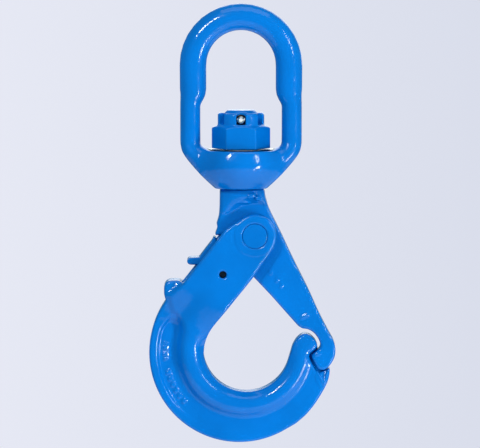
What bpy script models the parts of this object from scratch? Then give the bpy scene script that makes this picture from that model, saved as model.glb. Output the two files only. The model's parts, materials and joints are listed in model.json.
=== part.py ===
"""Swivel self-locking hook for a lifting chain: bail, ball thrust bearing, castle nut, hook and trigger.

The hook hangs from its bail and faces -Y, with +X to its right and +Z up. The origin is the point
inside the top of the bail where the load is hung. All lengths are metres and all angles degrees.
Outlines are lists of (x, z) points in the plane Y = 0, and each is given its thickness along Y.
"""

import math

import bmesh
import bpy
from mathutils import Matrix, Vector

GAP = 0.0003
PIN_GAP = 0.0002
THROUGH = 0.040
CUTTER_OVERRUN = 0.005
FULL_TURN = 2 * math.pi

# Bail: a round bar bent into a loop, drawn thinner over its lower legs, and closed by a round hub.
BAIL_INNER_RADIUS = 0.0209
BAIL_OUTER_RADIUS = 0.0369
BAIL_CROWN_CENTRE = (0.0, -BAIL_INNER_RADIUS)
BAIL_BAR_DEPTH = 0.0160
BAIL_LEG_DEPTH = 0.0145
BAIL_LEG_INNER_X = 0.0245
BAIL_LEG_OUTER_X = 0.0366
BAIL_STEP_TOP_Z = -0.0355
BAIL_STEP_BOTTOM_Z = -0.0450
BAIL_CORNER_RADIUS = 0.0050
BAIL_SHOULDER_Z = -0.0700
HUB_TOP_Z = -0.0720
HUB_BOTTOM_Z = -0.0952
HUB_RADIUS = 0.0250
HUB_FOOT_RADIUS = 0.0160
HUB_CONE_Z = -0.0864
HUB_EDGE = 0.0010

# Ball thrust bearing, 20 x 40 x 14 mm, sunk in the hub with its upper race just proud of it.
BEARING_RADIUS = 0.0200
BEARING_HEIGHT = 0.0140
BEARING_TOP_Z = -0.0715
BEARING_BORE_RADIUS = 0.0104
BEARING_POCKET_RADIUS = 0.0203
RACE_THICKNESS = 0.0042
BALL_COUNT = 12
BALL_RADIUS = 0.0035
BALL_PITCH_RADIUS = 0.0151
BALL_Z = BEARING_TOP_Z - BEARING_HEIGHT / 2
CAGE_HALF_HEIGHT = 0.0011
CAGE_INNER_RADIUS = 0.0112
CAGE_OUTER_RADIUS = 0.0192

# Shank, castle nut and the spring pin that locks it.
SHANK_RADIUS = 0.0100
SHANK_TOP_Z = -0.0480
SHANK_TIP_RADIUS = 0.0083
SHANK_TIP_CHAMFER = 0.0018
NUT_BOTTOM_Z = BEARING_TOP_Z + GAP
NUT_SHOULDER_Z = -0.0571
NUT_TOP_Z = -0.0497
NUT_CORNER_RADIUS = 0.0178
NUT_CROWN_RADIUS = 0.0140
NUT_CHAMFER = 0.0021
NUT_CHAMFER_INSET = 0.0018
NUT_EDGE = 0.0010
NUT_SLOT_WIDTH = 0.0055
NUT_SLOT_BOTTOM_Z = -0.0565
NUT_PIN_Z = -0.0536
NUT_PIN_RADIUS = 0.0021
NUT_PIN_WALL = 0.0008
NUT_PIN_LENGTH = 0.0270

# Pivots of the hook and of its trigger, both along Y.
PIVOT = (0.0083, -0.1233)
PIVOT_PIN_RADIUS = 0.0073
PIVOT_PIN_LENGTH = 0.0290
TRIGGER_PIVOT = (-0.0109, -0.1465)
TRIGGER_PIN_RADIUS = 0.0020
TRIGGER_PIN_LENGTH = 0.0240
TRIGGER_SHARE = 0.5

# Thicknesses along Y.
CHEEK_DEPTH = 0.0300
SLOT_WIDTH = 0.0156
ARM_DEPTH = 0.0150
NECK_DEPTH = 0.0230
WEB_DEPTH = 0.0100
BEAD_DEPTH = 0.0220
FLANGE_DEPTH = 0.0140
GUARD_DEPTH = 0.0200

# Rounding of the forged edges, and the small chamfers of the pins.
ARM_EDGE = 0.0014
WEB_EDGE = 0.0010
CHEEK_EDGE = 0.0016
GUARD_EDGE = 0.0020
PIVOT_PIN_CHAMFER = 0.0005
TRIGGER_PIN_CHAMFER = 0.0003

# Upper body: neck, heel and latch arm.
NECK_LEFT_X = -0.0118
NECK_RIGHT_X = 0.0134
NECK_TOP_Z = HUB_BOTTOM_Z - 0.0005
HEEL_RADIUS = 0.0240
LOBE_RADIUS = 0.0130
SHOULDER_RADIUS = 0.0216
NECK_OVERLAP = 0.0010
SHANK_OVERLAP = 0.0080

# Hook: cheeks, slot, bowl, bead, flange and guard.
BOSS_RADIUS = 0.0131
SLOT_FLOOR_Z = -0.1526
SLOT_LEFT_X = -0.0352
BOWL_CENTRE = (0.0033, -0.1920)
BOWL_RADIUS = 0.0262
BEAD_RADIUS = 0.0425
BEAD_TAPER = 0.0030
BEAD_NARROWING = 0.0010
SEAT_RADIUS = 0.0922
BACK_CENTRE = (-0.0010, -0.1944)
BACK_RADIUS = 0.0544
FLANGE_WIDTH = 0.0078

# Trigger, its pin and its torsion spring.
TRIGGER_HUB_RADIUS = 0.0050
TRIGGER_WINDOW_RADIUS = 0.0078
TRIGGER_WINDOW_WIDTH = 0.0074
TAB_TIP = (-0.0304, -0.1390)
TAB_RADIUS = 0.0021
TOOTH_GAP = 0.0005
SPRING_WIRE_RADIUS = 0.0006
SPRING_COIL_RADIUS = 0.0036
SPRING_TURNS = 3
SPRING_PITCH = 0.0016
SPRING_UPPER_LEG = 0.0055
SPRING_LOWER_LEG = 0.0034

BLUE = (0.0, 0.19, 0.75, 1.0)
DARK_BLUE = (0.0, 0.15, 0.62, 1.0)
BRIGHT_STEEL = (0.62, 0.63, 0.65, 1.0)
GROUND_STEEL = (0.45, 0.46, 0.48, 1.0)
BRASS = (0.60, 0.43, 0.18, 1.0)


def polar(centre, radius, degrees):
    """The point at this angle from +X, turning towards +Z."""
    angle = math.radians(degrees)
    return (centre[0] + radius * math.cos(angle), centre[1] + radius * math.sin(angle))


def arc(centre, radius, start, end, steps):
    """Points along an arc, both ends included."""
    return [polar(centre, radius, start + (end - start) * i / steps) for i in range(steps + 1)]


def turned_about(point, centre, degrees):
    """A point after a turn about a centre, positive from +X towards +Z."""
    angle = math.radians(degrees)
    x = point[0] - centre[0]
    z = point[1] - centre[1]
    return (
        centre[0] + x * math.cos(angle) - z * math.sin(angle),
        centre[1] + x * math.sin(angle) + z * math.cos(angle),
    )


def smooth(points, steps=4):
    """A curve through every point, as a Catmull-Rom spline."""
    knots = [Vector(p) for p in points]
    ends = [2 * knots[0] - knots[1]] + knots + [2 * knots[-1] - knots[-2]]
    curve = []
    for a, b, c, d in zip(ends, ends[1:], ends[2:], ends[3:]):
        for i in range(steps):
            t = i / steps
            bend = (2 * a - 5 * b + 4 * c - d) * t * t
            twist = (3 * b - 3 * c + d - a) * t * t * t
            curve.append(tuple((2 * b + (c - a) * t + bend + twist) / 2))
    return curve + [tuple(knots[-1])]


def material(name, colour, metallic, roughness):
    finish = bpy.data.materials.new(name)
    finish.use_nodes = True
    shader = finish.node_tree.nodes["Principled BSDF"]
    shader.inputs["Base Color"].default_value = colour
    shader.inputs["Metallic"].default_value = metallic
    shader.inputs["Roughness"].default_value = roughness
    return finish


def finish_mesh(name, bm, sharp=40):
    """Turns a bmesh into an object with its faces out and its round sides smooth."""
    bmesh.ops.recalc_face_normals(bm, faces=bm.faces)
    mesh = bpy.data.meshes.new(name)
    bm.to_mesh(mesh)
    bm.free()
    mesh.shade_smooth()
    mesh.set_sharp_from_angle(angle=math.radians(sharp))
    obj = bpy.data.objects.new(name, mesh)
    bpy.context.collection.objects.link(obj)
    return obj


def prism(name, outline, depth, bevel=0.0, middle=0.0):
    """An outline in the plane of the hook, as thick as depth along Y."""
    bm = bmesh.new()
    front = [bm.verts.new((x, middle - depth / 2, z)) for x, z in outline]
    face = bm.faces.new(front)
    back = bmesh.ops.extrude_face_region(bm, geom=[face])["geom"]
    moved = [v for v in back if isinstance(v, bmesh.types.BMVert)]
    bmesh.ops.translate(bm, verts=moved, vec=(0, depth, 0))
    obj = finish_mesh(name, bm)
    if bevel:
        round_edges(obj, bevel)
    return obj


def round_edges(obj, width, segments=2):
    edges = obj.modifiers.new("rounded edges", "BEVEL")
    edges.width = width
    edges.segments = segments
    edges.limit_method = "ANGLE"
    edges.angle_limit = math.radians(50)


def column(name, outline, bottom, top):
    """An outline of (x, y) points, upright between two heights."""
    bm = bmesh.new()
    face = bm.faces.new([bm.verts.new((x, y, bottom)) for x, y in outline])
    upper = bmesh.ops.extrude_face_region(bm, geom=[face])["geom"]
    moved = [v for v in upper if isinstance(v, bmesh.types.BMVert)]
    bmesh.ops.translate(bm, verts=moved, vec=(0, 0, top - bottom))
    return finish_mesh(name, bm)


def turned(name, profile, steps=48):
    """A closed or axis-to-axis profile of (radius, z) points, spun about Z."""
    bm = bmesh.new()
    points = [bm.verts.new((r, 0, z)) for r, z in profile]
    edges = [bm.edges.new(pair) for pair in zip(points, points[1:])]
    if profile[0][0] > 0:
        edges.append(bm.edges.new((points[-1], points[0])))
    bmesh.ops.spin(
        bm, geom=points + edges, axis=(0, 0, 1), cent=(0, 0, 0), angle=FULL_TURN, steps=steps,
        use_merge=True,
    )
    bmesh.ops.remove_doubles(bm, verts=bm.verts, dist=1e-7)
    return finish_mesh(name, bm)


def lay_along_y(obj, centre):
    """Turns a shape made about Z, such as a pin, onto the Y axis through an (x, z) point."""
    move = Matrix.Translation((centre[0], 0, centre[1]))
    obj.data.transform(move @ Matrix.Rotation(math.pi / 2, 4, "X"))
    return obj


def cross_pin(name, centre, radius, length=THROUGH, steps=32, chamfer=0.0):
    half = length / 2
    profile = [
        (0, half),
        (radius - chamfer, half),
        (radius, half - chamfer),
        (radius, chamfer - half),
        (radius - chamfer, -half),
        (0, -half),
    ]
    if not chamfer:
        profile = [(0, half), (radius, half), (radius, -half), (0, -half)]
    return lay_along_y(turned(name, profile, steps), centre)


def loft(name, stations, ring=14, closed=False):
    """A bar that runs through stations of (inner point, outer point, depth, squareness).

    Each section is a superellipse between its two points, with squareness 2 for an ellipse
    and more for a flatter face.
    """
    bm = bmesh.new()
    rings = []
    for inner, outer, depth, squareness in stations:
        middle = (Vector(inner) + Vector(outer)) / 2
        half = (Vector(outer) - Vector(inner)) / 2
        section = []
        for i in range(ring):
            angle = FULL_TURN * (i + 0.5) / ring
            across = math.copysign(abs(math.cos(angle)) ** (2 / squareness), math.cos(angle))
            along_y = math.copysign(abs(math.sin(angle)) ** (2 / squareness), math.sin(angle))
            at = middle + half * across
            section.append(bm.verts.new((at.x, along_y * depth / 2, at.y)))
        rings.append(section)
    pairs = list(zip(rings, rings[1:]))
    if closed:
        pairs.append((rings[-1], rings[0]))
    for one, other in pairs:
        for i in range(ring):
            j = (i + 1) % ring
            bm.faces.new((one[i], one[j], other[j], other[i]))
    if not closed:
        bm.faces.new(rings[0])
        bm.faces.new(rings[-1])
    return finish_mesh(name, bm)


def combine(target, tool, operation):
    step = target.modifiers.new(f"{operation.lower()} {tool.name}", "BOOLEAN")
    step.operation = operation
    step.solver = "EXACT"
    step.object = tool
    tool.hide_render = True
    tool.display_type = "WIRE"


def join(target, *tools):
    for tool in tools:
        combine(target, tool, "UNION")


def cut(target, *tools):
    for tool in tools:
        combine(target, tool, "DIFFERENCE")


def bail_stations():
    """Half of the bail's loop, from the middle of the hub up the right leg to the crown."""
    corner = (BAIL_LEG_INNER_X - BAIL_CORNER_RADIUS, HUB_TOP_Z + BAIL_CORNER_RADIUS)
    inner_corner = arc(corner, BAIL_CORNER_RADIUS, -90, 0, 4)
    shoulder = [(0.0209, -0.0903), (0.0268, -0.0848), (0.0318, -0.0794), (0.0351, -0.0744)]
    shoulder.append((BAIL_LEG_OUTER_X - 0.0001, BAIL_SHOULDER_Z))
    depths = [0.0250, 0.0210, 0.0180, 0.0160, 0.0150]
    half = [
        ((0.0, HUB_TOP_Z), (0.0, HUB_BOTTOM_Z), 0.0360, 3.0),
        ((0.0110, HUB_TOP_Z), (0.0120, HUB_BOTTOM_Z), 0.0340, 3.0),
    ]
    for inner, outer, depth in zip(inner_corner, shoulder, depths):
        half.append((inner, outer, depth, 2.4))
    for z in (-0.0600, BAIL_STEP_BOTTOM_Z):
        half.append(((BAIL_LEG_INNER_X, z), (BAIL_LEG_OUTER_X, z), BAIL_LEG_DEPTH, 2.2))
    step = BAIL_STEP_TOP_Z - BAIL_STEP_BOTTOM_Z
    for share in (0.25, 0.5, 0.75):
        ease = share * share * (3 - 2 * share)
        z = BAIL_STEP_BOTTOM_Z + step * share
        inner_x = BAIL_LEG_INNER_X + (BAIL_INNER_RADIUS - BAIL_LEG_INNER_X) * ease
        depth = BAIL_LEG_DEPTH + (BAIL_BAR_DEPTH - BAIL_LEG_DEPTH) * ease
        half.append(((inner_x, z), (BAIL_LEG_OUTER_X, z), depth, 2.1))
    top_inner = (BAIL_INNER_RADIUS, BAIL_STEP_TOP_Z)
    top_outer = (BAIL_OUTER_RADIUS, BAIL_STEP_TOP_Z)
    half.append((top_inner, top_outer, BAIL_BAR_DEPTH, 2.0))
    for degrees in range(0, 91, 15):
        inner = polar(BAIL_CROWN_CENTRE, BAIL_INNER_RADIUS, degrees)
        outer = polar(BAIL_CROWN_CENTRE, BAIL_OUTER_RADIUS, degrees)
        half.append((inner, outer, BAIL_BAR_DEPTH, 2.0))
    return half


def mirrored(stations):
    return [((-i[0], i[1]), (-o[0], o[1]), depth, power) for i, o, depth, power in stations]


def make_swivel_link():
    right = bail_stations()
    left = mirrored(right[1:-1])
    link = loft("swivel_link", right + left[::-1], closed=True)
    boss = turned(
        "hub boss",
        [(0, HUB_TOP_Z), (HUB_RADIUS - HUB_EDGE, HUB_TOP_Z), (HUB_RADIUS, HUB_TOP_Z - HUB_EDGE),
         (HUB_RADIUS, HUB_CONE_Z), (HUB_FOOT_RADIUS, HUB_BOTTOM_Z), (0, HUB_BOTTOM_Z)],
    )
    above = HUB_TOP_Z + CUTTER_OVERRUN
    floor = BEARING_TOP_Z - BEARING_HEIGHT - GAP
    pocket = turned(
        "bearing pocket",
        [(0, above), (BEARING_POCKET_RADIUS, above), (BEARING_POCKET_RADIUS, floor), (0, floor)],
    )
    bore_radius = SHANK_RADIUS + 0.0005
    below = HUB_BOTTOM_Z - CUTTER_OVERRUN
    bore = turned("shank bore", [(0, above), (bore_radius, above), (bore_radius, below), (0, below)])
    join(link, boss)
    cut(link, pocket, bore)
    return link


def race(name, flat_z, towards):
    """One washer of the bearing. Its groove faces the balls, which lie the way that towards points."""
    inner = flat_z + towards * RACE_THICKNESS
    groove = BALL_RADIUS + GAP
    reach = abs(BALL_Z - inner)
    half_width = math.sqrt(groove * groove - reach * reach)
    open_angle = math.degrees(math.asin(half_width / groove))
    # The groove is the part of a circle round the ball's centre that sinks into the washer.
    sunk = []
    for i in range(7):
        angle = math.radians(-open_angle + 2 * open_angle * i / 6)
        z = BALL_Z - towards * groove * math.cos(angle)
        sunk.append((BALL_PITCH_RADIUS + groove * math.sin(angle), z))
    profile = [
        (BEARING_BORE_RADIUS, flat_z),
        (BEARING_BORE_RADIUS, inner),
        *sunk,
        (BEARING_RADIUS, inner),
        (BEARING_RADIUS, flat_z),
    ]
    return turned(name, profile)


def make_bearing():
    pieces = [
        race("bearing_upper_race", BEARING_TOP_Z, -1),
        race("bearing_lower_race", BEARING_TOP_Z - BEARING_HEIGHT, 1),
    ]
    low = BALL_Z - CAGE_HALF_HEIGHT
    high = BALL_Z + CAGE_HALF_HEIGHT
    cage = turned(
        "bearing_cage",
        [(CAGE_INNER_RADIUS, low), (CAGE_INNER_RADIUS, high),
         (CAGE_OUTER_RADIUS, high), (CAGE_OUTER_RADIUS, low)],
    )
    pieces.append(cage)
    for number in range(BALL_COUNT):
        place = polar((0, 0), BALL_PITCH_RADIUS, 360 * number / BALL_COUNT)
        pieces.append(ball(f"bearing_ball_{number + 1:02d}", BALL_RADIUS, place, 2))
        window = ball(f"cage window {number + 1}", BALL_RADIUS + GAP, place, 2)
        cut(cage, window)
    return pieces


def ball(name, radius, place, detail):
    bm = bmesh.new()
    bmesh.ops.create_icosphere(bm, subdivisions=detail, radius=radius)
    obj = finish_mesh(name, bm, sharp=80)
    obj.location = (place[0], place[1], BALL_Z)
    return obj


def make_castle_nut():
    corners = arc((0, 0), NUT_CORNER_RADIUS, 0, 300, 5)
    nut = column("castle_nut", corners, NUT_BOTTOM_Z, NUT_SHOULDER_Z)
    waist = NUT_CORNER_RADIUS * math.cos(math.pi / 6)
    slope = turned(
        "nut chamfer",
        [(0, NUT_SHOULDER_Z + NUT_EDGE), (waist - NUT_CHAMFER_INSET, NUT_SHOULDER_Z + NUT_EDGE),
         (NUT_CORNER_RADIUS + NUT_EDGE, NUT_SHOULDER_Z - NUT_CHAMFER),
         (NUT_CORNER_RADIUS + NUT_EDGE, NUT_BOTTOM_Z - NUT_EDGE), (0, NUT_BOTTOM_Z - NUT_EDGE)],
    )
    combine(nut, slope, "INTERSECT")
    crown_foot = NUT_SHOULDER_Z - 2 * NUT_EDGE
    crown = turned(
        "nut crown",
        [(0, NUT_TOP_Z), (NUT_CROWN_RADIUS - NUT_EDGE, NUT_TOP_Z), (NUT_CROWN_RADIUS, NUT_TOP_Z - NUT_EDGE),
         (NUT_CROWN_RADIUS, crown_foot), (0, crown_foot)],
    )
    join(nut, crown)
    top = NUT_TOP_Z + CUTTER_OVERRUN
    half = NUT_SLOT_WIDTH / 2
    reach = NUT_CROWN_RADIUS + CUTTER_OVERRUN
    for number in range(3):
        outline = [(-half, -reach), (half, -reach), (half, reach), (-half, reach)]
        slot = column(f"nut slot {number + 1}", outline, NUT_SLOT_BOTTOM_Z, top)
        slot.rotation_euler.z = math.radians(60 * number)
        cut(nut, slot)
    bore_radius = SHANK_RADIUS + PIN_GAP
    bottom = NUT_BOTTOM_Z - CUTTER_OVERRUN
    cut(nut, turned("nut bore", [(0, top), (bore_radius, top), (bore_radius, bottom), (0, bottom)]))
    return nut


def make_nut_lock_pin():
    """A slotted spring pin: a rolled sleeve, open along one side."""
    opening = 22
    outer = arc((0, 0), NUT_PIN_RADIUS, opening, 360 - opening, 20)
    inner = arc((0, 0), NUT_PIN_RADIUS - NUT_PIN_WALL, 360 - opening, opening, 20)
    sleeve = column("nut_lock_pin", outer + inner, -NUT_PIN_LENGTH / 2, NUT_PIN_LENGTH / 2)
    return lay_along_y(sleeve, (0, NUT_PIN_Z))


def upper_body_outline():
    left = smooth([(NECK_LEFT_X, -0.1060), (-0.0120, -0.1115), (-0.0139, -0.1180)], 3)
    heel = polar(PIVOT, HEEL_RADIUS, 180)
    lobe = arc(PIVOT, LOBE_RADIUS, 180, 240, 6)
    inside = [(0.0032, -0.1425), (0.0074, -0.1484), (0.0180, -0.1596), (0.0300, -0.1732)]
    lip = smooth([(0.0345, -0.1782), (0.0370, -0.1797), (0.0402, -0.1802), (0.0438, -0.1822),
                  (0.0466, -0.1858), (0.0480, -0.1898), (0.0473, -0.1920)], 3)
    tooth = [(0.0432, -0.1954), (0.0426, -0.1963), (0.0430, -0.1978), (0.0460, -0.2036)]
    toe = smooth([(0.0475, -0.2050), (0.0510, -0.2046), (0.0546, -0.2008), (0.0567, -0.1962),
                  (0.0569, -0.1912), (0.0557, -0.1868)], 3)
    outside = smooth([(0.0532, -0.1824), (0.0492, -0.1748), (0.0458, -0.1678), (0.0406, -0.1562),
                      (0.0350, -0.1450), (0.0295, -0.1338), (0.0243, -0.1226), (0.0192, -0.1124),
                      (0.0158, -0.1052), (0.0140, -0.1010)], 2)
    top_z = NECK_TOP_Z - NECK_OVERLAP
    neck = [(NECK_RIGHT_X, -0.0985), (NECK_RIGHT_X, top_z), (NECK_LEFT_X, top_z)]
    return left + [heel] + lobe + inside + lip + tooth + toe + outside + neck


def make_upper_body():
    body = prism("upper_body", upper_body_outline(), ARM_DEPTH, ARM_EDGE)
    neck = loft(
        "neck",
        [((NECK_LEFT_X, NECK_TOP_Z), (0.0130, NECK_TOP_Z), NECK_DEPTH, 2.6),
         ((NECK_LEFT_X, -0.1000), (0.0135, -0.1000), NECK_DEPTH, 2.8),
         ((-0.0117, -0.1060), (0.0158, -0.1060), 0.0210, 3.2),
         ((-0.0122, -0.1120), (0.0188, -0.1120), 0.0170, 4.0),
         ((-0.0132, -0.1160), (0.0206, -0.1160), 0.0140, 5.0)],
        ring=20,
    )
    tip_z = SHANK_TOP_Z - SHANK_TIP_CHAMFER
    foot = NECK_TOP_Z - SHANK_OVERLAP
    shank = turned(
        "shank",
        [(0, SHANK_TOP_Z), (SHANK_TIP_RADIUS, SHANK_TOP_Z), (SHANK_RADIUS, tip_z),
         (SHANK_RADIUS, foot), (0, foot)],
        40,
    )
    # The thick neck ends on a round shoulder that the cheeks turn under.
    cut(neck, cross_pin("shoulder room", PIVOT, SHOULDER_RADIUS, steps=48))
    join(body, neck, shank)
    cut(body, cross_pin("pivot hole", PIVOT, PIVOT_PIN_RADIUS + PIN_GAP))
    cut(body, cross_pin("nut pin hole", (0, NUT_PIN_Z), NUT_PIN_RADIUS + GAP, steps=24))
    return body


def bowl_edge():
    """The inside of the hook, from the throat round the bowl to the nose."""
    upper = smooth([(-0.0145, -0.1751), (-0.0178, -0.1795), (-0.0204, -0.1845), (-0.0221, -0.1900)], 3)
    round_part = arc(BOWL_CENTRE, BOWL_RADIUS, 188, 344, 26)
    return upper + round_part


def nose_edge():
    """From the bowl over the nose and into the recess that the latch arm's tooth fills."""
    nose = smooth([(0.0300, -0.1943), (0.0311, -0.1905), (0.0330, -0.1870), (0.0358, -0.1840),
                   (0.0388, -0.1829), (0.0420, -0.1842), (0.0447, -0.1870), (0.0462, -0.1902)], 3)
    recess = [(0.0449, -0.1922), (0.0416, -0.1948), (0.0409, -0.1962), (0.0414, -0.1982), (0.0448, -0.2046)]
    return nose + recess


def tip_edge():
    """The seat under the latch arm's toe, which swings just clear of it, and the tip's outside."""
    seat = arc(PIVOT, SEAT_RADIUS, -65.6, -60.4, 4)
    outside = smooth([(0.0535, -0.2072), (0.0526, -0.2112), (0.0509, -0.2152), (0.0482, -0.2200),
                      (0.0446, -0.2256), (0.0394, -0.2320), (0.0330, -0.2376)], 2)
    return seat + outside


def throat_edge():
    return [(0.0196, -0.1305), (0.0133, -0.1395), (0.0070, -0.1487), (0.0, -0.1575)]


def boss_edge():
    return arc(PIVOT, BOSS_RADIUS, 132, -20, 14)


def hook_outline():
    back = arc(BACK_CENTRE, BACK_RADIUS, -60, -216, 26)
    waist = [(-0.0456, -0.1615)]
    inside = throat_edge() + bowl_edge() + nose_edge()
    return inside + tip_edge() + back + waist + guard_edge() + cheek_back() + boss_edge()


def guard_edge():
    """The rounded guard behind the thumb tab."""
    corner = (-0.0421, -0.1547)
    return [(-0.0463, -0.1585)] + arc(corner, 0.0042, 180, 90, 4) + [(-0.0375, -0.1504), (-0.0350, -0.1520)]


def cheek_back():
    return [(-0.0095, -0.1195), (-0.0052, -0.1165)]


def make_hook_body():
    hook = prism("hook_body", hook_outline(), WEB_DEPTH, WEB_EDGE)
    foot = smooth([(-0.0200, -0.1790), (-0.0290, -0.1760), (-0.0380, -0.1650), (-0.0400, -0.1580)], 3)
    cheek_outline = throat_edge() + [(-0.0145, -0.1751)] + foot + [(-0.0350, -0.1520)]
    cheeks = prism("cheeks", cheek_outline + cheek_back() + boss_edge(), CHEEK_DEPTH, CHEEK_EDGE)
    guard_root = [(-0.0330, -0.1545), (-0.0330, -0.1680), (-0.0470, -0.1680), (-0.0456, -0.1615)]
    guard = prism("guard", guard_edge() + guard_root, GUARD_DEPTH, GUARD_EDGE)
    bead = loft("bead", bead_stations(), ring=16)
    flange = loft("flange", flange_stations(), ring=12)
    slot = prism(
        "slot",
        [(SLOT_LEFT_X, SLOT_FLOOR_Z), (0.0400, SLOT_FLOOR_Z), (0.0400, -0.1000), (SLOT_LEFT_X, -0.1000)],
        SLOT_WIDTH,
    )
    join(hook, cheeks, guard, bead, flange)
    cut(hook, slot)
    cut(hook, cross_pin("cheek holes", PIVOT, PIVOT_PIN_RADIUS + PIN_GAP))
    cut(hook, cross_pin("trigger pin holes", TRIGGER_PIVOT, TRIGGER_PIN_RADIUS + PIN_GAP, steps=20))
    return hook


def bead_stations():
    """The thick rim that carries the load, from the cheeks round the bowl to the nose."""
    stations = [
        ((-0.0135, -0.1742), (-0.0300, -0.1660), 0.0260, 3.0),
        ((-0.0190, -0.1815), (-0.0372, -0.1765), 0.0250, 2.6),
    ]
    for degrees in range(178, 341, 18):
        inner = polar(BOWL_CENTRE, BOWL_RADIUS, degrees)
        # The bead narrows towards the nose, where the flange runs out into it.
        share = max(0.0, (degrees - 286) / 54)
        outer = polar(BOWL_CENTRE, BEAD_RADIUS - BEAD_NARROWING * share, degrees)
        stations.append((inner, outer, BEAD_DEPTH - BEAD_TAPER * share, 2.5))
    nose = [
        ((0.0300, -0.1943), (0.0420, -0.1990), 0.0175, 2.6),
        ((0.0311, -0.1900), (0.0409, -0.1950), 0.0160, 2.6),
        ((0.0333, -0.1866), (0.0448, -0.1918), 0.0150, 2.6),
        ((0.0362, -0.1838), (0.0455, -0.1888), 0.0130, 2.4),
        ((0.0385, -0.1831), (0.0440, -0.1862), 0.0080, 2.2),
    ]
    return stations + nose


def flange_stations():
    stations = []
    for degrees in range(-14, -217, -14):
        inner = polar(BACK_CENTRE, BACK_RADIUS - FLANGE_WIDTH, degrees)
        outer = polar(BACK_CENTRE, BACK_RADIUS, degrees)
        stations.append((inner, outer, FLANGE_DEPTH, 3.0))
    return stations


def heel_path(degrees):
    """Where the heel's corner stands, seen from the trigger, once the hook has opened this far."""
    corner = polar(PIVOT, HEEL_RADIUS, 180 + degrees)
    return turned_about(corner, TRIGGER_PIVOT, -TRIGGER_SHARE * degrees)


def trigger_outline():
    """The tooth's face follows the heel's path, set back by a gap, so the two never meet."""
    face = []
    for degrees in range(0, 34, 3):
        before = Vector(heel_path(degrees - 1))
        after = Vector(heel_path(degrees + 1))
        along = (after - before).normalized()
        away = Vector((along.y, -along.x)) * TOOTH_GAP
        face.append(tuple(Vector(heel_path(degrees)) + away))
    hub = arc(TRIGGER_PIVOT, TRIGGER_HUB_RADIUS, 40, -160, 16)
    tab_under = [(-0.0215, -0.1432), (-0.0262, -0.1411)]
    tab = arc(TAB_TIP, TAB_RADIUS, -90, -270, 8)
    back = [(-0.0252, -0.1366), (-0.0214, -0.1315), (-0.0174, -0.1264), (-0.0167, -0.1249)]
    return face + hub + tab_under + tab + back


def make_trigger():
    trigger = prism("trigger", trigger_outline(), ARM_DEPTH)
    window = cross_pin("spring window", TRIGGER_PIVOT, TRIGGER_WINDOW_RADIUS, TRIGGER_WINDOW_WIDTH)
    cut(trigger, window)
    cut(trigger, cross_pin("trigger bore", TRIGGER_PIVOT, TRIGGER_PIN_RADIUS + PIN_GAP, steps=20))
    return trigger


def spring_route():
    """The wire's centre line: one leg along the trigger, the turns round the pin, one leg on the floor."""
    start = 120
    turns = 360 * SPRING_TURNS + 95
    half = SPRING_PITCH * turns / 360 / 2
    points = []
    steps = SPRING_TURNS * 16
    for i in range(steps + 1):
        share = i / steps
        x, z = polar(TRIGGER_PIVOT, SPRING_COIL_RADIUS, start + turns * share)
        points.append(Vector((x, -half + 2 * half * share, z)))
    first_leg = (points[0] - points[1]).normalized() * SPRING_UPPER_LEG
    last_leg = (points[-1] - points[-2]).normalized() * SPRING_LOWER_LEG
    return [points[0] + first_leg] + points + [points[-1] + last_leg]


def make_trigger_spring():
    curve = bpy.data.curves.new("trigger_spring", "CURVE")
    curve.dimensions = "3D"
    curve.bevel_depth = SPRING_WIRE_RADIUS
    curve.bevel_resolution = 1
    curve.use_fill_caps = True
    route = spring_route()
    line = curve.splines.new("POLY")
    line.points.add(len(route) - 1)
    for point, place in zip(line.points, route):
        point.co = (*place, 1)
    spring = bpy.data.objects.new("trigger_spring", curve)
    bpy.context.collection.objects.link(spring)
    return spring


def hang_from(obj, parent):
    """Parents an object without moving it."""
    bpy.context.view_layer.update()
    obj.parent = parent
    obj.matrix_parent_inverse = parent.matrix_world.inverted()


def joint_empty(name, place):
    empty = bpy.data.objects.new(name, None)
    empty.location = place
    empty.empty_display_size = 0.02
    bpy.context.collection.objects.link(empty)
    return empty


def paint(pieces, finish):
    for piece in pieces:
        piece.data.materials.append(finish)


def clear_scene():
    for obj in list(bpy.data.objects):
        bpy.data.objects.remove(obj)


def main():
    clear_scene()
    link = make_swivel_link()
    nut = make_castle_nut()
    lock_pin = make_nut_lock_pin()
    upper = make_upper_body()
    hook = make_hook_body()
    upper_race, lower_race, cage, *balls = make_bearing()
    pivot_pin = cross_pin("pivot_pin", PIVOT, PIVOT_PIN_RADIUS, PIVOT_PIN_LENGTH, 40, PIVOT_PIN_CHAMFER)
    trigger = make_trigger()
    trigger_pin = cross_pin(
        "trigger_pin", TRIGGER_PIVOT, TRIGGER_PIN_RADIUS, TRIGGER_PIN_LENGTH, 20, TRIGGER_PIN_CHAMFER,
    )
    spring = make_trigger_spring()

    paint([link, nut, upper, hook, pivot_pin], material("blue gloss paint", BLUE, 0.0, 0.2))
    paint([trigger], material("blue trigger paint", DARK_BLUE, 0.0, 0.25))
    paint([lock_pin, trigger_pin, spring], material("bright steel", BRIGHT_STEEL, 1.0, 0.3))
    paint([upper_race, lower_race, *balls], material("ground bearing steel", GROUND_STEEL, 1.0, 0.15))
    paint([cage], material("pressed brass", BRASS, 1.0, 0.35))

    swivel = joint_empty("swivel axis", (0, 0, BALL_Z))
    ball_ring = joint_empty("ball ring axis", (0, 0, BALL_Z))
    hook_axis = joint_empty("hook pivot axis", (PIVOT[0], 0, PIVOT[1]))
    trigger_axis = joint_empty("trigger pivot axis", (TRIGGER_PIVOT[0], 0, TRIGGER_PIVOT[1]))
    for child, parent in ((hook_axis, swivel), (trigger_axis, hook_axis)):
        hang_from(child, parent)
    for piece in (upper, upper_race, nut, lock_pin):
        hang_from(piece, swivel)
    for piece in (cage, *balls):
        hang_from(piece, ball_ring)
    for piece in (hook, pivot_pin, trigger_pin, spring):
        hang_from(piece, hook_axis)
    hang_from(trigger, trigger_axis)


main()
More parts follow.
